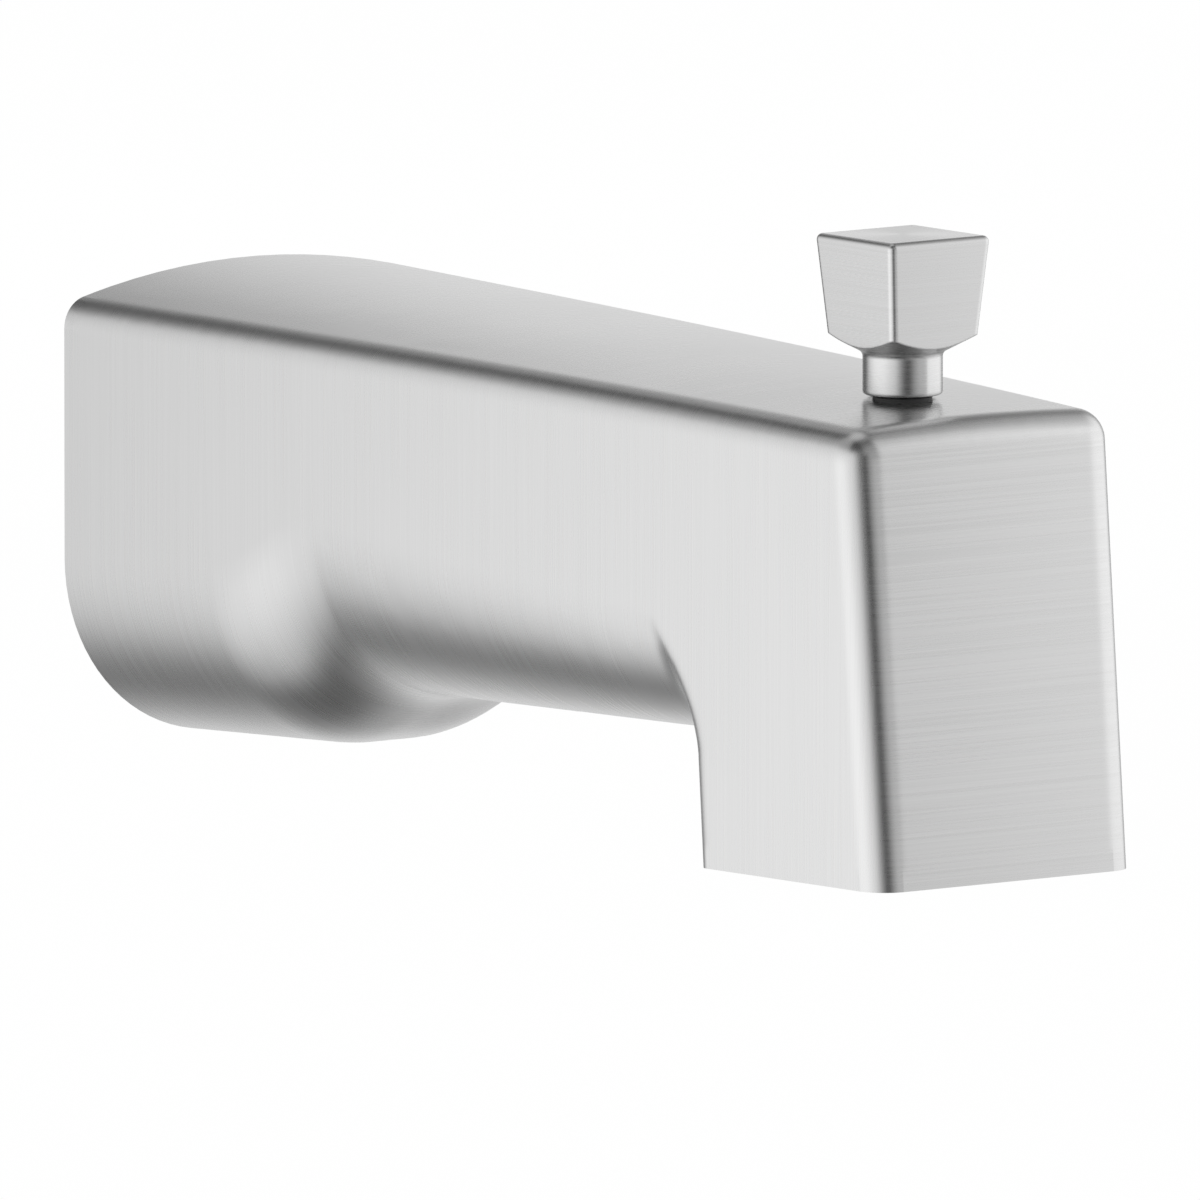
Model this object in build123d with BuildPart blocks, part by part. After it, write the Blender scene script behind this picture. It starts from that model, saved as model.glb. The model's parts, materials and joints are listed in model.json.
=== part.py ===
import os
from math import cos, pi, radians, tan

from build123d import *

os.makedirs("parts", exist_ok=True)

# Driving dimensions in millimetres and degrees.
# x runs out from the wall, z is up, and the origin is on the pipe axis at the wall.

# Outer form of the casting
projection = 178.0  # wall to the foot of the front face
wall_width = 66.2
side_taper = 3.23
front_lean = 5.09
outlet_drop = 31.3  # pipe axis down to the outlet
top_corner_wall = 36.4
top_corner_front = 33.3
top_bow = 0.5  # upward bow of the top corner line at mid length
crown_rise_wall = 4.6
crown_rise_front = 0.7
boss_length = 32.0
boss_drop = 26.9
boss_draft = 1.82
boss_radius_wall = 26.8
boss_radius_end = 27.7
boss_radius_length = 46.0  # past here the floor's corners tighten towards the downspout
blend_length = 24.0  # length of the curve from the boss up to the arm
arm_drop = 18.66
arm_draft = 1.985
arm_radius = 17.0  # corner radius of the arm's floor where it meets the downspout
downspout_length = 39.35  # outlet, front to back
downspout_lean = 3.96
throat_radius = 7.3  # inside curve from the arm to the downspout
edge_radius = 4.5
step_round = 2.0  # edge beside the throat
step_share = 0.8  # how far up the arm's corner that edge is rounded
casting_wall = 2.6
inner_round = 1.0  # least rounding of the inside corners

# Inlet hub
pipe_radius = 7.94  # half-inch copper tube
pipe_clearance = 0.06
pipe_depth = 26.0
stop_length = 4.0  # shoulder that the pipe stops at
stop_radius = 6.5
hub_radius = 13.5
hub_length = 33.0
hub_chamfer = 1.0
socket_radius = 12.0
socket_depth = 10.0
saddle_thickness = 4.0
saddle_rim = 1.5  # rib around the hub's socket
oring_section = 0.85
oring_room = 0.1
oring_rear_x = 16.5
oring_front_x = 21.5
set_screw_x = 8.0
set_screw_radius = 2.5
set_screw_length = 5.0
set_screw_chamfer = 0.5
key_size = 2.5  # hex key across flats
key_depth = 2.6
key_hole_radius = 3.2

# Waterway and diverter gate
fit_clearance = 0.05
slide_clearance = 0.3
tube_radius = 9.0
tube_wall = 1.5
tube_socket = 3.0
orifice_radius = 6.0
gate_overlap = 1.5
gate_open_gap = 1.0  # orifice edge to the gate's top when the knob is down
gate_thickness = 6.4
gate_width = 23.0
gate_round = 1.0
seal_thickness = 1.2
guide_wall = 3.6
guide_collar_wall = 1.9  # collar that the tube plugs into
guide_floor = 2.2
guide_rise = 11.0
guide_round = 1.5
wing_height = 16.0  # wings that hold the guide between the casting's sides
pin_radius = 0.8
pin_drop = 4.0  # gate's top edge down to the cross pin
rod_radius = 2.45
rod_depth = 8.0  # rod in the gate and in the knob
rod_chamfer = 0.4

# Bushing and knob
knob_setback = 24.6  # foot of the front face back to the knob's axis
bushing_radius = 4.2
bushing_stand = 0.45
bushing_flange_radius = 6.2
bushing_flange_height = 5.0
stem_boss_radius = 7.5
stem_boss_height = 11.0
stem_seal_section = 0.85
rest_gap = 0.3  # knob above the bushing when it is down
stem_radius = 5.69
stem_height = 6.03
stem_round = 0.5
flare_radius = 1.0  # inside curve from the stem to the cone
cone_height = 2.76
knob_half_bottom = 7.8
knob_half_top = 9.0
knob_height = 13.94  # from the cone's corners to the top
knob_round = 0.9

# Values worked out from the driving dimensions
overrun = 6.0  # how far cutting forms reach past the body
reach = 90.0  # half size of the forms that trim the body
margin = 1.0  # room left when edges are picked or a rounding is limited
trim_excess = 0.001  # keeps the side planes from grazing the rounded floor
blend_stations = 9
taper_slope = tan(radians(side_taper))
lean_slope = tan(radians(front_lean))
back_slope = tan(radians(downspout_lean))
back_x = projection - downspout_length
knob_x = projection - knob_setback


def half_width(x):
    return wall_width / 2 - x * taper_slope


def front_x(z):
    """Front face, which leans out towards its foot."""
    return projection - lean_slope * (z + outlet_drop)


def downspout_x(z):
    """Rear face of the downspout."""
    return back_x - back_slope * (z + outlet_drop)


top_length = front_x(top_corner_front)


def top_corner(x):
    share = x / top_length
    straight = top_corner_wall + (top_corner_front - top_corner_wall) * share
    return straight + 4 * top_bow * share * (1 - share)


def crown_rise(x):
    return crown_rise_wall + (crown_rise_front - crown_rise_wall) * x / top_length


def boss_share(x):
    """1 along the boss, 0 along the arm, a half cosine between them."""
    share = min(max((x - boss_length) / blend_length, 0), 1)
    return (1 + cos(pi * share)) / 2


def floor_z(x):
    boss = -boss_drop + x * tan(radians(boss_draft))
    arm = -arm_drop + x * tan(radians(arm_draft))
    return arm + (boss - arm) * boss_share(x)


def floor_radius(x):
    """Corner radius of the floor, almost even along the boss and tighter along the arm."""
    if x < boss_radius_length:
        return boss_radius_wall + (boss_radius_end - boss_radius_wall) * x / boss_radius_length
    share = (x - boss_radius_length) / (back_x - boss_radius_length)
    return boss_radius_end + (arm_radius - boss_radius_end) * share


def station(x):
    """Cross-section plane: local x is y, local y is z."""
    return Plane(origin=(x, 0, 0), x_dir=(0, 1, 0), z_dir=(1, 0, 0))


def floor_section(x, inset, excess):
    """Tall section with the rounded floor corners of the boss or the arm."""
    floor = floor_z(x) + inset
    half = half_width(x) - inset / cos(radians(side_taper)) + excess
    with BuildSketch(station(x)) as section:
        with Locations((0, (reach + floor) / 2)):
            Rectangle(2 * half, reach - floor)
        rounding = min(floor_radius(x) - inset, half - margin)
        fillet(section.vertices().group_by(Axis.Y)[0], rounding)
    return section.sketch


def crown_section(x, inset):
    """Everything below the crowned top at x."""
    rise = crown_rise(x)
    half = half_width(x)
    radius = (half**2 + rise**2) / (2 * rise)
    crest = top_corner(x) + rise - inset
    edge = crest - radius + (radius**2 - wall_width**2 / 2) ** 0.5
    side = wall_width / 2**0.5
    with BuildSketch(station(x)) as section:
        with BuildLine():
            top = ThreePointArc((-side, edge), (0, crest), (side, edge))
            Polyline(top @ 1, (side, -reach), (-side, -reach), top @ 0)
        make_face()
    return section.sketch


def rounded_floor(start, end, inset, excess):
    """Boss, blend and arm as one solid, open in height."""
    blend_end = boss_length + blend_length
    steps = [boss_length + blend_length * i / (blend_stations - 1) for i in range(blend_stations)]
    with BuildPart() as form:
        loft([floor_section(x, inset, excess) for x in (start, boss_length)], ruled=True)
        loft([floor_section(x, inset, excess) for x in steps])
        loft([floor_section(x, inset, excess) for x in (blend_end, end)], ruled=True)
    return form.part


def plan_form(inset):
    """Tapered plan of the casting."""
    shift = inset / cos(radians(side_taper))
    ends = (-overrun, projection + overrun)
    rear, front = (half_width(x) - shift for x in ends)
    with BuildPart() as form:
        with BuildSketch(Plane.XY.offset(-reach)):
            with BuildLine():
                Polyline((ends[0], -rear), (ends[1], -front), (ends[1], front), (ends[0], rear), close=True)
            make_face()
        extrude(amount=2 * reach)
    return form.part


def crown_form(inset):
    with BuildPart() as form:
        loft([crown_section(x, inset) for x in (-overrun, projection / 2, projection + overrun)])
    return form.part


def side_form(points):
    """Outline in the x-z plane, extruded right across the body."""
    with BuildPart() as form:
        with BuildSketch(Plane.XZ):
            with BuildLine():
                Polyline(*points, close=True)
            make_face()
        extrude(amount=reach, both=True)
    return form.part


# Outer form of the casting
with BuildPart() as outer:
    add(rounded_floor(0, projection + overrun, 0, trim_excess))
    block_top = top_corner_front / 2
    block_foot = -outlet_drop - overrun
    block_end = projection + 2 * overrun
    block = [
        (downspout_x(block_foot), block_foot),
        (block_end, block_foot),
        (block_end, block_top),
        (downspout_x(block_top), block_top),
    ]
    add(side_form(block))
    block_rear = outer.faces().filter_by(Axis((0, 0, 0), (1, 0, back_slope)))
    throat = block_rear.edges().filter_by(
        lambda e: abs(e.center().Y) < wall_width / 2 and e.center().Z > -outlet_drop
    )
    fillet(throat, throat_radius)
    add(plan_form(0), mode=Mode.INTERSECT)
    profile = [
        (0, -outlet_drop),
        (front_x(-outlet_drop), -outlet_drop),
        (front_x(reach), reach),
        (0, reach),
    ]
    add(side_form(profile), mode=Mode.INTERSECT)
    add(crown_form(0), mode=Mode.INTERSECT)
    crown_face = outer.faces().sort_by(Axis.Z)[-1]
    front_face = outer.faces().sort_by(Axis.X)[-1]
    rim = crown_face.edges().filter_by(lambda e: e.center().X > overrun)
    uprights = front_face.edges().filter_by(lambda e: abs((e @ 1 - e @ 0).Z) > edge_radius)
    fillet(ShapeList(set(rim + uprights)), edge_radius)

# The edge beside the throat fades out into the side, so it is rounded below that point only
step_level = floor_z(back_x) + arm_radius * step_share
step_rear = back_x - 2 * throat_radius
step_zone = [
    (step_rear, -reach),
    (projection + overrun, -reach),
    (projection + overrun, step_level),
    (step_rear, step_level),
]
with BuildPart() as underside:
    add(outer.part)
    add(side_form(step_zone), mode=Mode.INTERSECT)
    sides = ShapeList()
    for side in (-1, 1):
        sides += underside.faces().filter_by(Axis((0, 0, 0), (taper_slope, side, 0)))
    step_edges = sides.edges().filter_by(
        lambda e: step_rear + margin < e.center().X < back_x + margin
        and -outlet_drop + margin < e.center().Z < step_level - margin
    )
    fillet(step_edges, step_round)

# Hollow behind the nose, open to the wall
with BuildPart() as rear_cavity:
    add(rounded_floor(-overrun, projection, casting_wall, trim_excess))
    add(plan_form(casting_wall), mode=Mode.INTERSECT)
    add(crown_form(casting_wall), mode=Mode.INTERSECT)
    behind = [
        (-overrun, -reach),
        (downspout_x(-reach), -reach),
        (downspout_x(reach), reach),
        (-overrun, reach),
    ]
    add(side_form(behind), mode=Mode.INTERSECT)

# Upright shaft in the nose, open at the outlet
rear_shift = casting_wall / cos(radians(downspout_lean))
front_shift = casting_wall / cos(radians(front_lean))
with BuildPart() as nose_cavity:
    shaft_foot = -outlet_drop - overrun
    shaft = [
        (downspout_x(shaft_foot) + rear_shift, shaft_foot),
        (front_x(shaft_foot) - front_shift, shaft_foot),
        (front_x(reach) - front_shift, reach),
        (downspout_x(reach) + rear_shift, reach),
    ]
    add(side_form(shaft))
    add(plan_form(casting_wall), mode=Mode.INTERSECT)
    add(crown_form(casting_wall), mode=Mode.INTERSECT)
    corners = nose_cavity.edges().filter_by(lambda e: abs((e @ 1 - e @ 0).Z) > outlet_drop)
    fillet(corners, max(edge_radius - casting_wall, inner_round))

# Rib standing in the boss that the inlet hub seats in
saddle_half = socket_radius + saddle_rim
with BuildPart() as saddle:
    with BuildSketch(station(hub_length)):
        with Locations((0, (saddle_half - reach) / 2)):
            Rectangle(2 * saddle_half, saddle_half + reach)
    extrude(amount=saddle_thickness)
    add(rounded_floor(0, projection, casting_wall / 2, trim_excess), mode=Mode.INTERSECT)

# Casting
top_z = top_corner(knob_x) + crown_rise(knob_x)
stem_boss_z = top_z - stem_boss_height
with BuildPart() as spout_body:
    add(outer.part)
    add(side_form(step_zone), mode=Mode.SUBTRACT)
    add(underside.part)
    add(rear_cavity.part, mode=Mode.SUBTRACT)
    add(nose_cavity.part, mode=Mode.SUBTRACT)
    add(saddle.part)
    with BuildSketch(Plane.XY.offset(stem_boss_z)):
        with Locations((knob_x, 0)):
            Circle(stem_boss_radius)
    extrude(amount=stem_boss_height - casting_wall / 2)
    # Holes for the hub, the tube, the bushing and the set screw's key
    with BuildSketch(station(hub_length - overrun)):
        Circle(socket_radius + fit_clearance)
    extrude(amount=saddle_thickness + 2 * overrun, mode=Mode.SUBTRACT)
    with BuildSketch(station(downspout_x(0) - overrun)):
        Circle(tube_radius + fit_clearance)
    extrude(amount=rear_shift + 2 * overrun, mode=Mode.SUBTRACT)
    with BuildSketch(Plane.XY.offset(stem_boss_z - overrun)):
        with Locations((knob_x, 0)):
            Circle(bushing_radius + fit_clearance)
    extrude(amount=stem_boss_height + 2 * overrun, mode=Mode.SUBTRACT)
    with BuildSketch(Plane.XY.offset(-boss_drop - overrun)):
        with Locations((set_screw_x, 0)):
            Circle(key_hole_radius)
    extrude(amount=casting_wall + 2 * overrun, mode=Mode.SUBTRACT)
spout_body.part.label = "spout_body"
export_step(spout_body.part, "parts/spout_body.step")

# Inlet hub, turned about the pipe axis
bore_radius = pipe_radius + pipe_clearance
socket_x = pipe_depth + stop_length
groove_radius = bore_radius + 2 * oring_section + oring_room
groove_width = 2 * (oring_section + oring_room)
with BuildPart() as inlet_adapter:
    with BuildSketch(Plane.XZ):
        with BuildLine():
            Polyline(
                (0, bore_radius),
                (0, hub_radius),
                (hub_length, hub_radius),
                (hub_length, socket_radius),
                (socket_x + socket_depth, socket_radius),
                (socket_x + socket_depth, tube_radius + fit_clearance),
                (socket_x, tube_radius + fit_clearance),
                (socket_x, stop_radius),
                (pipe_depth, stop_radius),
                (pipe_depth, bore_radius),
                close=True,
            )
        make_face()
        for ring_x in (oring_rear_x, oring_front_x):
            with Locations((ring_x, groove_radius / 2)):
                Rectangle(groove_width, groove_radius, mode=Mode.SUBTRACT)
    revolve(axis=Axis.X)
    rear_edges = inlet_adapter.edges().filter_by(GeomType.CIRCLE).group_by(Axis.X)[0]
    chamfer(rear_edges.sort_by(SortBy.RADIUS)[-1], hub_chamfer)
    with BuildSketch(Plane.XY):
        with Locations((set_screw_x, 0)):
            Circle(set_screw_radius + fit_clearance)
    extrude(amount=-hub_radius - overrun, mode=Mode.SUBTRACT)
inlet_adapter.part.label = "inlet_adapter"
export_step(inlet_adapter.part, "parts/inlet_adapter.step")

# Seals in the hub, drawn as the pipe squeezes them
with BuildPart() as inlet_oring_rear:
    with Locations(Location((oring_rear_x, 0, 0), (0, 90, 0))):
        Torus(bore_radius + oring_section, oring_section)
inlet_oring_rear.part.label = "inlet_oring_rear"
export_step(inlet_oring_rear.part, "parts/inlet_oring_rear.step")

with BuildPart() as inlet_oring_front:
    with Locations(Location((oring_front_x, 0, 0), (0, 90, 0))):
        Torus(bore_radius + oring_section, oring_section)
inlet_oring_front.part.label = "inlet_oring_front"
export_step(inlet_oring_front.part, "parts/inlet_oring_front.step")

# Set screw, its tip just clear of the pipe
screw_tip = -bore_radius - slide_clearance
with BuildPart() as set_screw:
    with BuildSketch(Plane.XY.offset(screw_tip)):
        with Locations((set_screw_x, 0)):
            Circle(set_screw_radius)
    extrude(amount=-set_screw_length)
    tip_edge = set_screw.edges().filter_by(GeomType.CIRCLE).sort_by(Axis.Z)[-1]
    chamfer(tip_edge, set_screw_chamfer)
    with BuildSketch(Plane.XY.offset(screw_tip - set_screw_length)):
        with Locations((set_screw_x, 0)):
            RegularPolygon(key_size / 2, 6, major_radius=False)
    extrude(amount=key_depth, mode=Mode.SUBTRACT)
set_screw.part.label = "set_screw"
export_step(set_screw.part, "parts/set_screw.step")

# Gate guide: the slot is open at the top, and the orifice crosses it
gate_height = 2 * (orifice_radius + gate_overlap)
gate_top = -orifice_radius - gate_open_gap
gate_z = gate_top - gate_height / 2
slot_rear = knob_x - gate_thickness / 2 - slide_clearance
slot_front = knob_x + gate_thickness / 2 + seal_thickness + slide_clearance
tube_end = slot_rear - guide_wall
guide_rear = tube_end - tube_socket
guide_front = slot_front + guide_wall
slot_floor = gate_top - gate_height - slide_clearance
slot_width = gate_width + 2 * slide_clearance
with BuildPart() as gate_guide:
    with BuildSketch(station(tube_end)):
        Rectangle(2 * reach, wing_height)
    extrude(amount=guide_wall)
    add(plan_form(casting_wall + fit_clearance), mode=Mode.INTERSECT)
    with BuildSketch(Plane.XY.offset(slot_floor - guide_floor)) as plan:
        with Locations(((tube_end + guide_front) / 2, 0)):
            Rectangle(guide_front - tube_end, slot_width + 2 * guide_wall)
        fillet(plan.vertices(), guide_round)
    extrude(amount=guide_rise - slot_floor + guide_floor)
    with BuildSketch(station(guide_rear)):
        Circle(tube_radius + fit_clearance + guide_collar_wall)
    extrude(amount=tube_socket)
    with BuildSketch(Plane.XY.offset(slot_floor)):
        with Locations(((slot_rear + slot_front) / 2, 0)):
            Rectangle(slot_front - slot_rear, slot_width)
    extrude(amount=guide_rise - slot_floor + overrun, mode=Mode.SUBTRACT)
    with BuildSketch(station(guide_rear - overrun)):
        Circle(orifice_radius)
    extrude(amount=guide_front - guide_rear + 2 * overrun, mode=Mode.SUBTRACT)
    with BuildSketch(station(tube_end)):
        Circle(tube_radius + fit_clearance)
    extrude(amount=-tube_socket - overrun, mode=Mode.SUBTRACT)
gate_guide.part.label = "gate_guide"
export_step(gate_guide.part, "parts/gate_guide.step")

# Tube from the hub to the gate guide
with BuildPart() as waterway_tube:
    with BuildSketch(station(socket_x)):
        Circle(tube_radius)
        Circle(tube_radius - tube_wall, mode=Mode.SUBTRACT)
    extrude(amount=tube_end - socket_x)
waterway_tube.part.label = "waterway_tube"
export_step(waterway_tube.part, "parts/waterway_tube.step")

# Gate, hanging below the orifice
pin_z = gate_top - pin_drop
with BuildPart() as diverter_gate:
    with BuildSketch(Plane.YZ.offset(knob_x - gate_thickness / 2)):
        with Locations((0, gate_z)):
            RectangleRounded(gate_width, gate_height, gate_round)
    extrude(amount=gate_thickness)
    with BuildSketch(Plane.XY.offset(gate_top)):
        with Locations((knob_x, 0)):
            Circle(rod_radius + fit_clearance)
    extrude(amount=-rod_depth, mode=Mode.SUBTRACT)
    with BuildSketch(Plane.YZ.offset(knob_x)):
        with Locations((0, pin_z)):
            Circle(pin_radius + fit_clearance)
    extrude(amount=gate_thickness, both=True, mode=Mode.SUBTRACT)
diverter_gate.part.label = "diverter_gate"
export_step(diverter_gate.part, "parts/diverter_gate.step")

with BuildPart() as gate_seal:
    with BuildSketch(Plane.YZ.offset(knob_x + gate_thickness / 2)):
        with Locations((0, gate_z)):
            RectangleRounded(gate_width, gate_height, gate_round)
    extrude(amount=seal_thickness)
gate_seal.part.label = "gate_seal"
export_step(gate_seal.part, "parts/gate_seal.step")

with BuildPart() as gate_pin:
    with BuildSketch(Plane.YZ.offset(knob_x)):
        with Locations((0, pin_z)):
            Circle(pin_radius)
    extrude(amount=gate_thickness / 2, both=True)
gate_pin.part.label = "gate_pin"
export_step(gate_pin.part, "parts/gate_pin.step")

# Rod from the gate up into the knob
bushing_top = top_z + bushing_stand
knob_foot = bushing_top + rest_gap
rod_foot = gate_top - rod_depth
with BuildPart() as lift_rod:
    with BuildSketch(Plane.XY.offset(rod_foot)):
        with Locations((knob_x, 0)):
            Circle(rod_radius)
    extrude(amount=knob_foot + rod_depth - rod_foot)
    chamfer(lift_rod.edges().filter_by(GeomType.CIRCLE), rod_chamfer)
    with BuildSketch(Plane.YZ.offset(knob_x)):
        with Locations((0, pin_z)):
            Circle(pin_radius + fit_clearance)
    extrude(amount=gate_thickness, both=True, mode=Mode.SUBTRACT)
lift_rod.part.label = "lift_rod"
export_step(lift_rod.part, "parts/lift_rod.step")

# Bushing, turned about the rod
seal_z = stem_boss_z - bushing_flange_height / 2
rod_bore = rod_radius + fit_clearance
seal_groove = rod_bore + 2 * stem_seal_section + oring_room
with BuildPart() as stem_bushing:
    with BuildSketch(Plane.XZ.move(Location((knob_x, 0, 0)))):
        with BuildLine():
            Polyline(
                (rod_bore, stem_boss_z - bushing_flange_height),
                (bushing_flange_radius, stem_boss_z - bushing_flange_height),
                (bushing_flange_radius, stem_boss_z),
                (bushing_radius, stem_boss_z),
                (bushing_radius, bushing_top),
                (rod_bore, bushing_top),
                close=True,
            )
        make_face()
        with Locations((seal_groove / 2, seal_z)):
            Rectangle(seal_groove, 2 * (stem_seal_section + oring_room), mode=Mode.SUBTRACT)
    revolve(axis=Axis((knob_x, 0, 0), (0, 0, 1)))
stem_bushing.part.label = "stem_bushing"
export_step(stem_bushing.part, "parts/stem_bushing.step")

with BuildPart() as stem_oring:
    with Locations((knob_x, 0, seal_z)):
        Torus(rod_bore + stem_seal_section, stem_seal_section)
stem_oring.part.label = "stem_oring"
export_step(stem_oring.part, "parts/stem_oring.step")

# Knob: a square taper whose lower corners are turned to a cone above the stem
cone_foot = knob_foot + stem_height
knob_top = cone_foot + cone_height + knob_height
corner_radius = knob_half_bottom * 2**0.5
knob_slope = (knob_half_top - knob_half_bottom) / knob_height
foot_half = knob_half_bottom - knob_slope * cone_height
with BuildPart() as lift_knob:
    with BuildSketch(Plane.XY.offset(cone_foot)):
        with Locations((knob_x, 0)):
            Rectangle(2 * foot_half, 2 * foot_half)
    with BuildSketch(Plane.XY.offset(knob_top)):
        with Locations((knob_x, 0)):
            Rectangle(2 * knob_half_top, 2 * knob_half_top)
    loft(ruled=True)
    lower_face = lift_knob.faces().sort_by(Axis.Z)[0]
    fillet(lift_knob.edges() - lower_face.edges(), knob_round)
    with BuildSketch(Plane.XZ.move(Location((knob_x, 0, 0)))):
        with BuildLine():
            Polyline(
                (0, cone_foot),
                (stem_radius, cone_foot),
                (corner_radius, cone_foot + cone_height),
                (2 * corner_radius - stem_radius, cone_foot + 2 * cone_height),
                (2 * corner_radius - stem_radius, knob_top + overrun),
                (0, knob_top + overrun),
                close=True,
            )
        make_face()
    revolve(axis=Axis((knob_x, 0, 0), (0, 0, 1)), mode=Mode.INTERSECT)
    with BuildSketch(Plane.XY.offset(knob_foot)):
        with Locations((knob_x, 0)):
            Circle(stem_radius)
    extrude(amount=stem_height)
    rings = lift_knob.edges().filter_by(GeomType.CIRCLE).group_by(Axis.Z)
    fillet(rings[1], flare_radius)
    fillet(lift_knob.edges().sort_by(Axis.Z)[0], stem_round)
    with BuildSketch(Plane.XY.offset(knob_foot)):
        with Locations((knob_x, 0)):
            Circle(rod_radius + fit_clearance)
    extrude(amount=rod_depth, mode=Mode.SUBTRACT)
lift_knob.part.label = "lift_knob"
export_step(lift_knob.part, "parts/lift_knob.step")
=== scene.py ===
import json
from math import cos, radians, sin
from typing import NamedTuple

import bmesh
import bpy
from bpy.props import FloatProperty, FloatVectorProperty, PointerProperty
from bpy.types import NodeSocket, Operator, Panel, PropertyGroup
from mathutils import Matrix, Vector

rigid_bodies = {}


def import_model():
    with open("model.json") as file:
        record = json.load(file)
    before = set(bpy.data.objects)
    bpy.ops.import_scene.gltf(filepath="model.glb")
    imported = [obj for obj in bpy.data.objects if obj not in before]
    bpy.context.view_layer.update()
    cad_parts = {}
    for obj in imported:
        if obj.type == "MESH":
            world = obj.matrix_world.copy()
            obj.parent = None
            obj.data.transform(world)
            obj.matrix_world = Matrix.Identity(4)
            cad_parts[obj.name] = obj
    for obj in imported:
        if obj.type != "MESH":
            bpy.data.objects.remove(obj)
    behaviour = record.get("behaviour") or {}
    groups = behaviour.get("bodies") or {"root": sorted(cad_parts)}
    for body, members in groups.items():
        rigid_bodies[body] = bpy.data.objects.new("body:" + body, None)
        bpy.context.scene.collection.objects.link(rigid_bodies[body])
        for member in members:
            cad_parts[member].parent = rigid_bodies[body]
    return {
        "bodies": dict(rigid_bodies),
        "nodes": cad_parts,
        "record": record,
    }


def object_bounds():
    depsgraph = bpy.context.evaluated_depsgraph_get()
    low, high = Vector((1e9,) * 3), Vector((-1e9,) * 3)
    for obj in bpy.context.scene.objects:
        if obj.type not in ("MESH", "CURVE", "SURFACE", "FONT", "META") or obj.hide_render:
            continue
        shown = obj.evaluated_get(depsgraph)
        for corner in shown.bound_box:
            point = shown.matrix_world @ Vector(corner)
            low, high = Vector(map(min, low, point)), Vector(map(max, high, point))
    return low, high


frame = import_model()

bl_info = {
    "name": "Bath Spout Finish",
    "version": (1, 0, 0),
    "blender": (4, 5, 0),
    "location": "View3D > Sidebar > Bath Spout",
    "description": "Brushed nickel finish, inner fittings and studio stage for a bath spout",
    "category": "Material",
}

PHOTO_PIXELS = 1200
SENSOR_MM = 36.0
WHITE = (1, 1, 1, 1)
LAMP_OFFSET = Vector((0.5, -0.8, 1.5))
FLOOR_CUTS = 4
TENT_SEGMENTS, TENT_RINGS = 96, 48


class TentPanel(NamedTuple):
    """One soft panel or dark flag of the light tent, by its direction from the spout in degrees."""

    azimuth: float
    elevation: float
    half_width: float
    half_height: float
    soft_edge: float
    level: float


# Azimuth 0 is straight out from the wall and 90 is across the spout to the far side.
# Level 1 is white. Each panel covers those above it in the list.
TENT_PANELS = {
    "side_softbox": TentPanel(-100, -20, 55, 55, 10, 0.85),
    "side_glow": TentPanel(-100, -12, 30, 25, 22, 1.2),
    "camera_flag": TentPanel(-20, 5, 12, 22, 10, 0.07),
    "crown_flag": TentPanel(-45, 50, 25, 18, 12, 0.03),
    "nose_strip": TentPanel(15, -15, 9, 25, 8, 0.6),
    "front_softbox": TentPanel(63, 30, 33, 45, 9, 1.13),
    "back_panel": TentPanel(159, -20, 26, 50, 10, 0.9),
    "top_panel": TentPanel(134, 14, 12, 14, 10, 0.9),
    "back_flag": TentPanel(180, 25, 18, 20, 20, 0.02),
    "wall_flag_high": TentPanel(-165, 65, 16, 20, 9, 0.06),
    "wall_flag_level": TentPanel(-177, -17, 18, 37, 25, 0.17),
    "wall_flag_low": TentPanel(170, -77, 55, 28, 25, 0.06),
    "ceiling_flag": TentPanel(42, 70, 92, 23, 25, 0.05),
    "zenith_panel": TentPanel(0, 90, 180, 20, 8, 0.6),
}


def clear_startup_objects():
    """Remove what a new file opens with, so that only the spout is left."""
    spout_objects = [*frame["nodes"].values(), *frame["bodies"].values()]
    for thing in list(bpy.data.objects):
        if thing not in spout_objects:
            bpy.data.objects.remove(thing)


clear_startup_objects()
CAD_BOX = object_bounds()


def slot_color(slot):
    """Base colour that the record gives a material slot."""
    for entry in frame["record"]["materials"]:
        if entry["slot"] == slot:
            return tuple(entry["base_color"])
    raise KeyError(f"the record has no material slot {slot}")


def color_property(name, slot, description):
    """Colour setting whose default is the record's colour of that slot."""
    return FloatVectorProperty(
        name=name, description=description, subtype="COLOR", size=3, min=0, max=1,
        default=slot_color(slot),
    )


class SPOUT_PG_nickel(PropertyGroup):
    """Brushed nickel of the casting and the knob."""

    color: color_property("Nickel", "brushed_nickel", "Colour of the plated metal")
    roughness: FloatProperty(
        name="Roughness", description="Mean roughness of the brushed plate", subtype="FACTOR",
        min=0, max=1, default=0.28,
    )
    anisotropy: FloatProperty(
        name="Brushed Stretch", description="How much the brushing stretches highlights",
        subtype="FACTOR", min=0, max=1, default=0.35,
    )
    scratch_width: FloatProperty(
        name="Scratch Width", description="Spacing of the brush scratches", unit="LENGTH",
        default=0.0003, precision=5,
    )
    scratch_length: FloatProperty(
        name="Scratch Length", description="Length of one brush scratch", unit="LENGTH",
        default=0.05, precision=4,
    )
    scratch_depth: FloatProperty(
        name="Scratch Depth", description="Depth of the brush scratches", unit="LENGTH",
        default=0.000004, precision=6,
    )
    casting_polish: FloatProperty(
        name="Casting Polish", unit="LENGTH", default=0.002, precision=4,
        description="Reach over which polishing blends the casting's curves into its flats",
    )
    knob_polish: FloatProperty(
        name="Knob Polish", description="Reach over which polishing blends the knob's edges",
        unit="LENGTH", default=0.0004, precision=4,
    )


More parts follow.
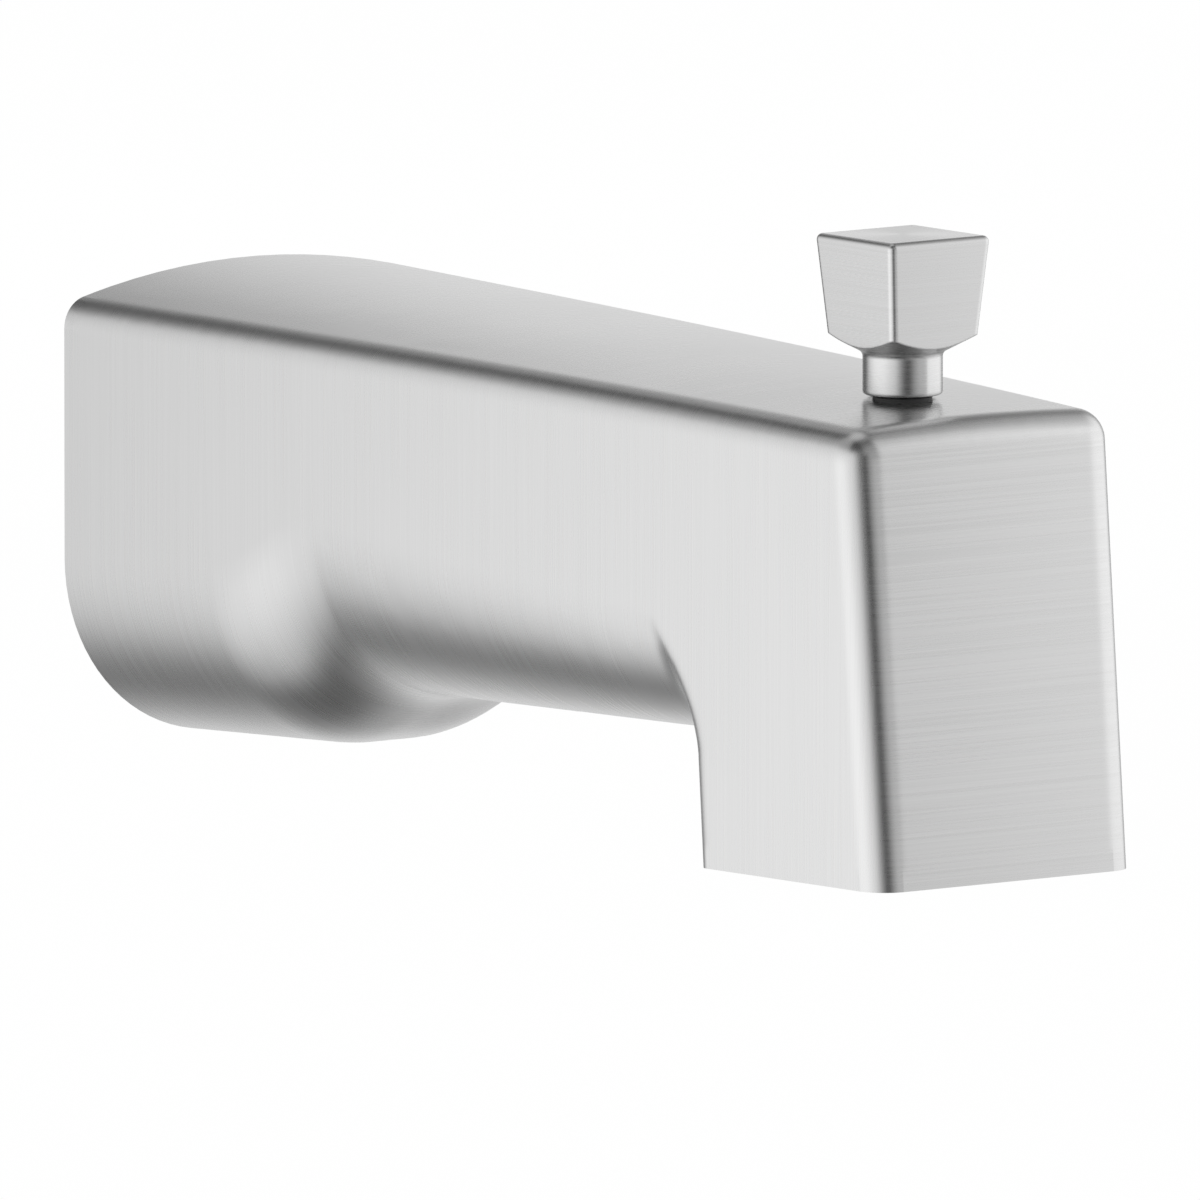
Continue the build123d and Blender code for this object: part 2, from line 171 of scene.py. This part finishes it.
class SPOUT_PG_fittings(PropertyGroup):
    """Materials of the pieces inside the casting."""

    turned_brass: color_property("Turned Brass", "turned_brass", "Colour of the inlet adapter")
    drawn_brass: color_property("Drawn Brass", "drawn_brass", "Colour of the waterway tube")
    rubber: color_property("Rubber", "seal_rubber", "Colour of the seals")
    bushing: color_property("Bushing", "dark_plastic", "Colour of the stem bushing")
    guide: color_property("Guide", "guide_plastic", "Colour of the gate guide")
    gate: color_property("Gate", "gate_plastic", "Colour of the diverter gate")
    screw: color_property("Screw Steel", "screw_steel", "Colour of the set screw and the gate pin")
    rod: color_property("Rod Steel", "rod_steel", "Colour of the lift rod")
    thread_pitch: FloatProperty(
        name="Thread Pitch", description="Pitch of the set screw's thread", unit="LENGTH",
        default=0.0008, precision=4,
    )


class SPOUT_PG_stage(PropertyGroup):
    """Camera, floor and studio light."""

    azimuth: FloatProperty(
        name="Azimuth", description="Camera's turn about the spout", subtype="ANGLE",
        default=radians(52.51),
    )
    elevation: FloatProperty(
        name="Elevation", description="Camera's height angle", subtype="ANGLE",
        default=radians(7.095),
    )
    distance: FloatProperty(
        name="Distance", description="Camera to spout", unit="LENGTH", default=6.881
    )
    focal_pixels: FloatProperty(
        name="Focal Pixels", description="Focal length in pixels of the photo", subtype="PIXEL",
        default=48291,
    )
    aim: FloatVectorProperty(
        name="Aim", description="Point in the middle of the picture", subtype="TRANSLATION",
        default=(0.08719, -0.00312, 0.00003),
    )
    floor_drop: FloatProperty(
        name="Floor Drop", description="Floor below the inlet's axis", unit="LENGTH", default=0.46
    )
    floor_size: FloatProperty(
        name="Floor Size", description="Side of the floor", unit="LENGTH", default=40
    )
    floor_glow: FloatProperty(
        name="Floor Glow", description="Share of plain white in the floor, over its lit share",
        subtype="FACTOR", min=0, max=1, default=0.8,
    )
    tent_radius: FloatProperty(
        name="Tent Radius", description="Radius of the light tent", unit="LENGTH", default=0.45
    )
    tent_level: FloatProperty(
        name="Tent Level", description="Brightness of the tent between its panels", default=0.4
    )
    world_level: FloatProperty(
        name="World Level", description="Brightness of the room", default=0.7
    )
    lamp_strength: FloatProperty(
        name="Lamp Strength", description="Strength of the soft lamp", default=1.2
    )
    lamp_spread: FloatProperty(
        name="Lamp Spread", description="Angle that the soft lamp fills", subtype="ANGLE",
        default=radians(40),
    )


def wire(tree, socket, value):
    """Link a socket to a node's output, or set the socket's own value."""
    if isinstance(value, NodeSocket):
        tree.links.new(value, socket)
    else:
        socket.default_value = value


def add_node(tree, kind, values=(), sockets=None, **settings):
    """Add a node with its settings, then its inputs, in order and by name."""
    node = tree.nodes.new(kind)
    for name, setting in settings.items():
        setattr(node, name, setting)
    for socket, value in zip(node.inputs, values):
        wire(tree, socket, value)
    for name, value in (sockets or {}).items():
        wire(tree, node.inputs[name], value)
    return node


def compute(tree, operation, *values):
    """One arithmetic step."""
    return add_node(tree, "ShaderNodeMath", values, operation=operation).outputs[0]


def ramp(tree, value, start, end, low=0.0, high=1.0):
    """Smooth rise from low to high as a value goes from start to end."""
    values = (value, start, end, low, high)
    node = add_node(tree, "ShaderNodeMapRange", values, interpolation_type="SMOOTHSTEP")
    return node.outputs[0]


NOISE_LOW, NOISE_MEAN, NOISE_HIGH = 0.3, 0.5, 0.7
NOISE_DETAIL = 2.0


def spread(tree, noise, middle, swing):
    """Turn a noise value, which stays near one half, into middle plus or minus swing."""
    values = (noise, NOISE_LOW, NOISE_HIGH, middle - swing, middle + swing)
    return add_node(tree, "ShaderNodeMapRange", values).outputs[0]


def varied(tree, noise, swing):
    """A noise value with its swing about one half set anew."""
    return spread(tree, noise, NOISE_MEAN, swing)


# First of the two inputs that the mix node blends, and its output, for each kind of value.
MIX_SOCKETS = {"FLOAT": (2, 0), "VECTOR": (4, 1), "RGBA": (6, 2)}


def mix(tree, kind, factor, low, high):
    """Blend two numbers, directions or colours."""
    first, output = MIX_SOCKETS[kind]
    node = add_node(tree, "ShaderNodeMix", (factor,), data_type=kind)
    wire(tree, node.inputs[first], low)
    wire(tree, node.inputs[first + 1], high)
    return node.outputs[output]


def shaded(color, factor):
    """A colour made darker or lighter, with full opacity."""
    return (*(min(channel * factor, 1.0) for channel in color), 1.0)


def empty_tree(owner):
    """Node tree of a material or a world, without the nodes that it starts with."""
    owner.use_nodes = True
    owner.node_tree.nodes.clear()
    return owner.node_tree


def start_material(name):
    """New node material, with its tree and its shader."""
    material = bpy.data.materials.new(name)
    material.use_nodes = True
    tree = material.node_tree
    return material, tree, tree.nodes["Principled BSDF"]


def stretched_noise(tree, cell, detail=NOISE_DETAIL):
    """Noise over the object's own coordinates, with cells of the given sizes, in metres."""
    place = add_node(tree, "ShaderNodeTexCoord").outputs["Object"]
    scale = tuple(1 / size for size in cell)
    cells = add_node(tree, "ShaderNodeVectorMath", (place, scale), operation="MULTIPLY").outputs[0]
    sockets = {"Vector": cells, "Scale": 1.0, "Detail": detail}
    return add_node(tree, "ShaderNodeTexNoise", sockets=sockets).outputs[0]


def even_noise(tree, size, detail=NOISE_DETAIL):
    """Noise whose cells are of one size along each axis."""
    return stretched_noise(tree, (size, size, size), detail)


def set_bump(tree, shader, height, distance, base_normal=None):
    """Give a surface relief of the given depth, over its own normal or another one."""
    sockets = {"Height": height, "Distance": distance, "Strength": 1.0}
    bump = add_node(tree, "ShaderNodeBump", sockets=sockets)
    if base_normal:
        wire(tree, bump.inputs["Normal"], base_normal)
    wire(tree, shader.inputs["Normal"], bump.outputs[0])


POLISH_SAMPLES = 8


def polished_normal(tree, reach):
    """Normal of a surface whose curves are polished into its flats over a reach."""
    node = add_node(tree, "ShaderNodeBevel", sockets={"Radius": reach}, samples=POLISH_SAMPLES)
    return node.outputs[0]


def crisp_at_ends(tree, normal, reach):
    """The given normal, but the surface's own near the wall rim and the outlet's lip."""
    place = add_node(tree, "ShaderNodeTexCoord").outputs["Object"]
    x, _, z = add_node(tree, "ShaderNodeSeparateXYZ", (place,)).outputs
    wall, _, lip = CAD_BOX[0]
    off_wall = ramp(tree, x, wall + reach, wall + 2 * reach)
    off_lip = ramp(tree, z, lip + reach, lip + 2 * reach)
    own = add_node(tree, "ShaderNodeNewGeometry").outputs["Normal"]
    return mix(tree, "VECTOR", compute(tree, "MULTIPLY", off_wall, off_lip), own, normal)


def dress(node_name, material):
    """Give one of the spout's pieces its material."""
    piece = frame["nodes"][node_name]
    piece.data.materials.clear()
    piece.data.materials.append(material)


# In the materials, sizes are in metres, a swing goes to each side of the mean, and a dark or a
# bright share multiplies the base colour. Brushing around the girth turns into level brushing as
# the normal's X goes from FRONT_START to FRONT_END.
FRONT_START, FRONT_END = 0.75, 0.95
GIRTH_SWING, STREAK_SWING, CLOUD_SWING = 0.1, 0.45, 0.12
DARK_STREAK, BRIGHT_STREAK = 0.95, 1.05
STREAK_ROUGHNESS, CLOUD_ROUGHNESS = 0.03, 0.01
CLOUD_SIZE = 0.03
QUARTER_TURN = 0.25


def brushed_nickel(name, nickel, around, polish):
    """Nickel brushed around one axis of the piece, with plates that face along X brushed level."""
    material, tree, shader = start_material(name)
    width, length = nickel.scratch_width, nickel.scratch_length
    level_cell = (length, length, width)
    girth_cell = (width, length, length)
    level_scratches = stretched_noise(tree, level_cell)
    brushing = level_scratches
    along = add_node(tree, "ShaderNodeTangent", direction_type="RADIAL", axis="Z").outputs[0]
    smooth = polished_normal(tree, polish)
    if around == "X":
        smooth = crisp_at_ends(tree, smooth, polish)
        normal = add_node(tree, "ShaderNodeNewGeometry").outputs["Normal"]
        facing = add_node(tree, "ShaderNodeSeparateXYZ", (normal,)).outputs[0]
        on_front = ramp(tree, facing, FRONT_START, FRONT_END)
        girth_scratches = varied(tree, stretched_noise(tree, girth_cell), GIRTH_SWING)
        brushing = mix(tree, "FLOAT", on_front, girth_scratches, level_scratches)
        girth = add_node(tree, "ShaderNodeTangent", direction_type="RADIAL", axis="X").outputs[0]
        along = mix(tree, "VECTOR", on_front, girth, along)
    clouds = even_noise(tree, CLOUD_SIZE)
    streaks = varied(tree, brushing, STREAK_SWING)
    tone = compute(tree, "ADD", streaks, spread(tree, clouds, 0.0, CLOUD_SWING))
    dark, bright = shaded(nickel.color, DARK_STREAK), shaded(nickel.color, BRIGHT_STREAK)
    wire(tree, shader.inputs["Base Color"], mix(tree, "RGBA", tone, dark, bright))
    brushed = spread(tree, brushing, nickel.roughness, STREAK_ROUGHNESS)
    roughness = compute(tree, "ADD", brushed, spread(tree, clouds, 0.0, CLOUD_ROUGHNESS))
    wire(tree, shader.inputs["Roughness"], roughness)
    wire(tree, shader.inputs["Tangent"], along)
    shader.inputs["Metallic"].default_value = 1.0
    shader.inputs["Anisotropic"].default_value = nickel.anisotropy
    shader.inputs["Anisotropic Rotation"].default_value = QUARTER_TURN
    set_bump(tree, shader, brushing, nickel.scratch_depth, smooth)
    return material


MARK_SWING, MARK_ROUGHNESS = 0.4, 0.05
DARK_MARK, BRIGHT_MARK, DULL_METAL = 0.93, 1.05, 0.55
PATCH_SIZE, PATCH_DETAIL = 0.012, 4.0
PATCH_START, PATCH_END = 0.45, 0.75


def worked_metal(name, color, cell, roughness, depth, tarnish=0.0):
    """Metal with tool marks of the given cell size, and dull patches where it has tarnished."""
    material, tree, shader = start_material(name)
    marks = stretched_noise(tree, cell)
    patches = even_noise(tree, PATCH_SIZE, PATCH_DETAIL)
    light = varied(tree, marks, MARK_SWING)
    bright = mix(tree, "RGBA", light, shaded(color, DARK_MARK), shaded(color, BRIGHT_MARK))
    dull = shaded(color, DULL_METAL)
    stain = ramp(tree, patches, PATCH_START, PATCH_END, 0.0, tarnish)
    wire(tree, shader.inputs["Base Color"], mix(tree, "RGBA", stain, bright, dull))
    marked = spread(tree, marks, roughness, MARK_ROUGHNESS)
    wire(tree, shader.inputs["Roughness"], compute(tree, "ADD", marked, stain))
    shader.inputs["Metallic"].default_value = 1.0
    set_bump(tree, shader, marks, depth)
    return material


GRAIN_SIZE, GRAIN_ROUGHNESS = 0.0004, 0.06
FLOW_CELL, FLOW_SWING = (0.004, 0.004, 0.012), 0.4
DARK_FLOW, PALE_FLOW = 0.94, 1.04


def moulded_plastic(name, color, roughness, grain_depth):
    """Moulded plastic with a fine grain and slow flow marks."""
    material, tree, shader = start_material(name)
    grain = even_noise(tree, GRAIN_SIZE)
    flow = varied(tree, stretched_noise(tree, FLOW_CELL), FLOW_SWING)
    tint = mix(tree, "RGBA", flow, shaded(color, DARK_FLOW), shaded(color, PALE_FLOW))
    wire(tree, shader.inputs["Base Color"], tint)
    wire(tree, shader.inputs["Roughness"], spread(tree, grain, roughness, GRAIN_ROUGHNESS))
    set_bump(tree, shader, grain, grain_depth)
    return material


BLOOM_SIZE, BLOOM_DETAIL = 0.003, 3.0
DARK_BLOOM, PALE_BLOOM = 0.8, 1.6
PORE_SIZE, PORE_DEPTH = 0.0003, 0.00002
RUBBER_ROUGHNESS, PORE_ROUGHNESS = 0.6, 0.08


def seal_rubber(name, color):
    """Black rubber with a bloom of paler patches."""
    material, tree, shader = start_material(name)
    bloom = even_noise(tree, BLOOM_SIZE, BLOOM_DETAIL)
    pores = even_noise(tree, PORE_SIZE)
    tint = mix(tree, "RGBA", bloom, shaded(color, DARK_BLOOM), shaded(color, PALE_BLOOM))
    wire(tree, shader.inputs["Base Color"], tint)
    wire(tree, shader.inputs["Roughness"], spread(tree, pores, RUBBER_ROUGHNESS, PORE_ROUGHNESS))
    set_bump(tree, shader, pores, PORE_DEPTH)
    return material


HALF_TURN = 0.5
# Painted shade darkens the thread's grooves and a painted highlight lightens its crests, as
# multiples of the base colour.
GROOVE_PAINTED_SHADE, CREST_PAINTED_HIGHLIGHT = 0.6, 1.1
THREAD_ROUGHNESS, TURNING_ROUGHNESS = 0.35, 0.06
TURNING_CELL = (0.001, 0.001, 0.0002)


def threaded_steel(name, color, pitch):
    """Stainless steel with a thread cut around Z, with painted shade in its grooves and a painted
    highlight on its crests.
    """
    material, tree, shader = start_material(name)
    place = add_node(tree, "ShaderNodeTexCoord").outputs["Object"]
    height = add_node(tree, "ShaderNodeSeparateXYZ", (place,)).outputs[2]
    turns = compute(tree, "DIVIDE", height, pitch)
    crest = compute(tree, "DIVIDE", compute(tree, "PINGPONG", turns, HALF_TURN), HALF_TURN)
    # The base colour goes from painted shade in the grooves to a painted highlight on the crests.
    tint = mix(tree, "RGBA", crest, shaded(color, GROOVE_PAINTED_SHADE), shaded(color, CREST_PAINTED_HIGHLIGHT))
    wire(tree, shader.inputs["Base Color"], tint)
    turning = stretched_noise(tree, TURNING_CELL)
    roughness = spread(tree, turning, THREAD_ROUGHNESS, TURNING_ROUGHNESS)
    wire(tree, shader.inputs["Roughness"], roughness)
    shader.inputs["Metallic"].default_value = 1.0
    thread_depth = pitch / 2
    set_bump(tree, shader, crest, thread_depth)
    return material


def panel_weight(tree, azimuth, elevation, panel):
    """How much a panel covers at a direction: one inside it, zero past its soft edge."""
    turn = compute(tree, "SUBTRACT", azimuth, radians(panel.azimuth))
    turn = compute(tree, "WRAP", turn, radians(180), radians(-180))
    rise = compute(tree, "SUBTRACT", elevation, radians(panel.elevation))
    shares = []
    for angle, half in ((turn, panel.half_width), (rise, panel.half_height)):
        away = compute(tree, "ABSOLUTE", angle)
        outer, inner = radians(half + panel.soft_edge), radians(half - panel.soft_edge)
        shares.append(ramp(tree, away, outer, inner))
    return compute(tree, "MULTIPLY", *shares)


def tent_material(stage):
    """Cloth of the light tent: its soft panels and flags, by direction from the spout."""
    material = bpy.data.materials.new("tent_cloth")
    material.cycles.emission_sampling = "NONE"
    tree = empty_tree(material)
    place = add_node(tree, "ShaderNodeNewGeometry").outputs["Position"]
    middle = tuple(stage.aim)
    reach = add_node(tree, "ShaderNodeVectorMath", (place, middle), operation="SUBTRACT").outputs[0]
    outward = add_node(tree, "ShaderNodeVectorMath", (reach,), operation="NORMALIZE").outputs[0]
    x, y, z = add_node(tree, "ShaderNodeSeparateXYZ", (outward,)).outputs
    azimuth = compute(tree, "ARCTAN2", y, x)
    elevation = compute(tree, "ARCSINE", z)
    level = stage.tent_level
    for panel in TENT_PANELS.values():
        weight = panel_weight(tree, azimuth, elevation, panel)
        level = mix(tree, "FLOAT", weight, level, panel.level)
    glow = add_node(tree, "ShaderNodeEmission", sockets={"Strength": level})
    add_node(tree, "ShaderNodeOutputMaterial", (glow.outputs[0],))
    return material


def seen_ray(tree):
    """One for what is seen, also in mirrors or glass, zero for light that falls on things."""
    path = add_node(tree, "ShaderNodeLightPath").outputs
    seen = compute(tree, "MAXIMUM", path["Is Camera Ray"], path["Is Glossy Ray"])
    return compute(tree, "MAXIMUM", seen, path["Is Transmission Ray"])


MOTTLE_SIZE, MOTTLE_SWING, FLOOR_PAINT = 0.4, 0.01, 0.96


def floor_material(stage):
    """Pale floor that reads as white, still takes the spout's shadow, and is clear from below."""
    material = bpy.data.materials.new("studio_floor")
    tree = empty_tree(material)
    mottle = spread(tree, even_noise(tree, MOTTLE_SIZE), FLOOR_PAINT, MOTTLE_SWING)
    paint = add_node(tree, "ShaderNodeCombineColor", (mottle, mottle, mottle))
    lit = add_node(tree, "ShaderNodeBsdfDiffuse", (paint.outputs[0],))
    white = add_node(tree, "ShaderNodeEmission", sockets={"Strength": 1.0})
    share = compute(tree, "MULTIPLY", seen_ray(tree), stage.floor_glow)
    surface = add_node(tree, "ShaderNodeMixShader", (share, lit.outputs[0], white.outputs[0]))
    clear = add_node(tree, "ShaderNodeBsdfTransparent")
    underside = add_node(tree, "ShaderNodeNewGeometry").outputs["Backfacing"]
    sheet = add_node(tree, "ShaderNodeMixShader", (underside, surface.outputs[0], clear.outputs[0]))
    add_node(tree, "ShaderNodeOutputMaterial", (sheet.outputs[0],))
    return material


def add_object(name, data):
    """Object with the given data, linked into the scene."""
    thing = bpy.data.objects.new(name, data)
    bpy.context.collection.objects.link(thing)
    return thing


def mesh_object(name, form):
    """Object made from a bmesh."""
    mesh = bpy.data.meshes.new(name)
    form.to_mesh(mesh)
    form.free()
    return add_object(name, mesh)


def build_floor(stage):
    """Level floor under the spout."""
    form = bmesh.new()
    half_side = stage.floor_size / 2
    bmesh.ops.create_grid(form, x_segments=FLOOR_CUTS, y_segments=FLOOR_CUTS, size=half_side)
    floor = mesh_object("studio_floor", form)
    floor.location.z = -stage.floor_drop
    floor.data.materials.append(floor_material(stage))


def build_tent(stage):
    """Light tent that only shows in the metal."""
    form = bmesh.new()
    bmesh.ops.create_uvsphere(
        form, u_segments=TENT_SEGMENTS, v_segments=TENT_RINGS, radius=stage.tent_radius
    )
    tent = mesh_object("light_tent", form)
    tent.location = stage.aim
    tent.data.materials.append(tent_material(stage))
    tent.visible_camera = False
    tent.visible_diffuse = False
    tent.visible_shadow = False
    tent.visible_transmission = False


def build_lamp(stage):
    """Soft lamp from over the near side, for the plastic pieces and the floor's shadow."""
    data = bpy.data.lights.new("soft_lamp", "SUN")
    data.energy = stage.lamp_strength
    data.angle = stage.lamp_spread
    lamp = add_object("soft_lamp", data)
    lamp.location = Vector(stage.aim) + LAMP_OFFSET
    lamp.rotation_euler = (-LAMP_OFFSET).to_track_quat("-Z", "Y").to_euler()
    lamp.visible_glossy = False


def build_room(stage):
    """Even room light, white where it is seen."""
    world = bpy.data.worlds.new("studio_room")
    bpy.context.scene.world = world
    tree = empty_tree(world)
    strength = mix(tree, "FLOAT", seen_ray(tree), stage.world_level, 1.0)
    room = add_node(tree, "ShaderNodeBackground", (WHITE, strength))
    add_node(tree, "ShaderNodeOutputWorld", (room.outputs[0],))


def build_camera(stage):
    """Long lens at the photo's viewing angle."""
    data = bpy.data.cameras.new("photo_camera")
    data.sensor_width = SENSOR_MM
    data.lens = stage.focal_pixels * SENSOR_MM / PHOTO_PIXELS
    data.clip_end = stage.floor_size * 2
    camera = add_object("photo_camera", data)
    turn, rise = stage.azimuth, stage.elevation
    outward = Vector((sin(turn) * cos(rise), -cos(turn) * cos(rise), sin(rise)))
    camera.location = Vector(stage.aim) + outward * stage.distance
    camera.rotation_euler = (radians(90) - rise, 0, turn)
    bpy.context.scene.camera = camera


class SPOUT_OT_finish_casting(Operator):
    """Brush the cast body around its girth and across its front"""

    bl_idname = "spout.finish_casting"
    bl_label = "Finish Casting"
    bl_options = {"REGISTER", "UNDO"}

    def execute(self, context):
        nickel = context.scene.spout_nickel
        polish = nickel.casting_polish
        finish = brushed_nickel("brushed_nickel", nickel, around="X", polish=polish)
        dress("spout_body", finish)
        return {"FINISHED"}


class SPOUT_OT_finish_knob(Operator):
    """Brush the lift knob level around its stem"""

    bl_idname = "spout.finish_knob"
    bl_label = "Finish Lift Knob"
    bl_options = {"REGISTER", "UNDO"}

    def execute(self, context):
        nickel = context.scene.spout_nickel
        polish = nickel.knob_polish
        finish = brushed_nickel("brushed_nickel_knob", nickel, around="Z", polish=polish)
        dress("lift_knob", finish)
        return {"FINISHED"}


class SPOUT_OT_finish_inlet(Operator):
    """Finish the inlet adapter, its set screw and the waterway tube"""

    bl_idname = "spout.finish_inlet"
    bl_label = "Finish Inlet"
    bl_options = {"REGISTER", "UNDO"}

    def execute(self, context):
        fittings = context.scene.spout_fittings
        turned = worked_metal(
            "turned_brass", fittings.turned_brass,
            cell=(0.0002, 0.01, 0.01), roughness=0.25, depth=0.00001, tarnish=0.25,
        )
        drawn = worked_metal(
            "drawn_brass", fittings.drawn_brass,
            cell=(0.02, 0.0003, 0.0003), roughness=0.3, depth=0.000008, tarnish=0.35,
        )
        thread = threaded_steel("screw_steel", fittings.screw, fittings.thread_pitch)
        dress("inlet_adapter", turned)
        dress("waterway_tube", drawn)
        dress("set_screw", thread)
        return {"FINISHED"}


class SPOUT_OT_finish_seals(Operator):
    """Finish the rubber seals"""

    bl_idname = "spout.finish_seals"
    bl_label = "Finish Seals"
    bl_options = {"REGISTER", "UNDO"}

    def execute(self, context):
        rubber = seal_rubber("seal_rubber", context.scene.spout_fittings.rubber)
        for name in ("inlet_oring_rear", "inlet_oring_front", "stem_oring", "gate_seal"):
            dress(name, rubber)
        return {"FINISHED"}


class SPOUT_OT_finish_diverter(Operator):
    """Finish the diverter's guide, gate, pin, rod and bushing"""

    bl_idname = "spout.finish_diverter"
    bl_label = "Finish Diverter"
    bl_options = {"REGISTER", "UNDO"}

    def execute(self, context):
        fittings = context.scene.spout_fittings
        guide = moulded_plastic(
            "guide_plastic", fittings.guide, roughness=0.42, grain_depth=0.00001
        )
        gate = moulded_plastic(
            "gate_plastic", fittings.gate, roughness=0.45, grain_depth=0.000012
        )
        collar = moulded_plastic(
            "dark_plastic", fittings.bushing, roughness=0.55, grain_depth=0.00002
        )
        ground = worked_metal(
            "rod_steel", fittings.rod, cell=(0.006, 0.006, 0.00015), roughness=0.22, depth=0.000004
        )
        plain = worked_metal(
            "pin_steel", fittings.screw, cell=(0.0002, 0.004, 0.004), roughness=0.28, depth=0.000004
        )
        dress("gate_guide", guide)
        dress("diverter_gate", gate)
        dress("stem_bushing", collar)
        dress("lift_rod", ground)
        dress("gate_pin", plain)
        return {"FINISHED"}


class SPOUT_OT_build_stage(Operator):
    """Set up the floor, the light tent, the room and the camera"""

    bl_idname = "spout.build_stage"
    bl_label = "Build Stage"
    bl_options = {"REGISTER", "UNDO"}

    def execute(self, context):
        stage = context.scene.spout_stage
        for build in (build_floor, build_tent, build_lamp, build_room, build_camera):
            build(stage)
        context.scene.view_settings.view_transform = "Standard"
        return {"FINISHED"}


class SPOUT_PT_sidebar(Panel):
    """Spout's settings and steps"""

    bl_label = "Bath Spout"
    bl_idname = "SPOUT_PT_sidebar"
    bl_space_type = "VIEW_3D"
    bl_region_type = "UI"
    bl_category = "Bath Spout"

    def draw(self, context):
        for group in SETTINGS:
            settings = getattr(context.scene, group)
            box = self.layout.box()
            for name in settings.__annotations__:
                box.prop(settings, name)
        for step in STEPS:
            self.layout.operator(step.bl_idname)


STEPS = (
    SPOUT_OT_finish_casting,
    SPOUT_OT_finish_knob,
    SPOUT_OT_finish_inlet,
    SPOUT_OT_finish_seals,
    SPOUT_OT_finish_diverter,
    SPOUT_OT_build_stage,
)
SETTINGS = {
    "spout_nickel": SPOUT_PG_nickel,
    "spout_fittings": SPOUT_PG_fittings,
    "spout_stage": SPOUT_PG_stage,
}


def register():
    """Register the settings, the steps and the panel."""
    for kind in (*SETTINGS.values(), *STEPS, SPOUT_PT_sidebar):
        bpy.utils.register_class(kind)
    for name, kind in SETTINGS.items():
        setattr(bpy.types.Scene, name, PointerProperty(type=kind))


def unregister():
    """Take the settings, the steps and the panel out again."""
    for name in SETTINGS:
        delattr(bpy.types.Scene, name)
    for kind in (SPOUT_PT_sidebar, *reversed(STEPS), *reversed(SETTINGS.values())):
        bpy.utils.unregister_class(kind)


def main():
    register()
    bpy.ops.spout.finish_casting()
    bpy.ops.spout.finish_knob()
    bpy.ops.spout.finish_inlet()
    bpy.ops.spout.finish_seals()
    bpy.ops.spout.finish_diverter()
    bpy.ops.spout.build_stage()


if __name__ == "__main__":
    main()
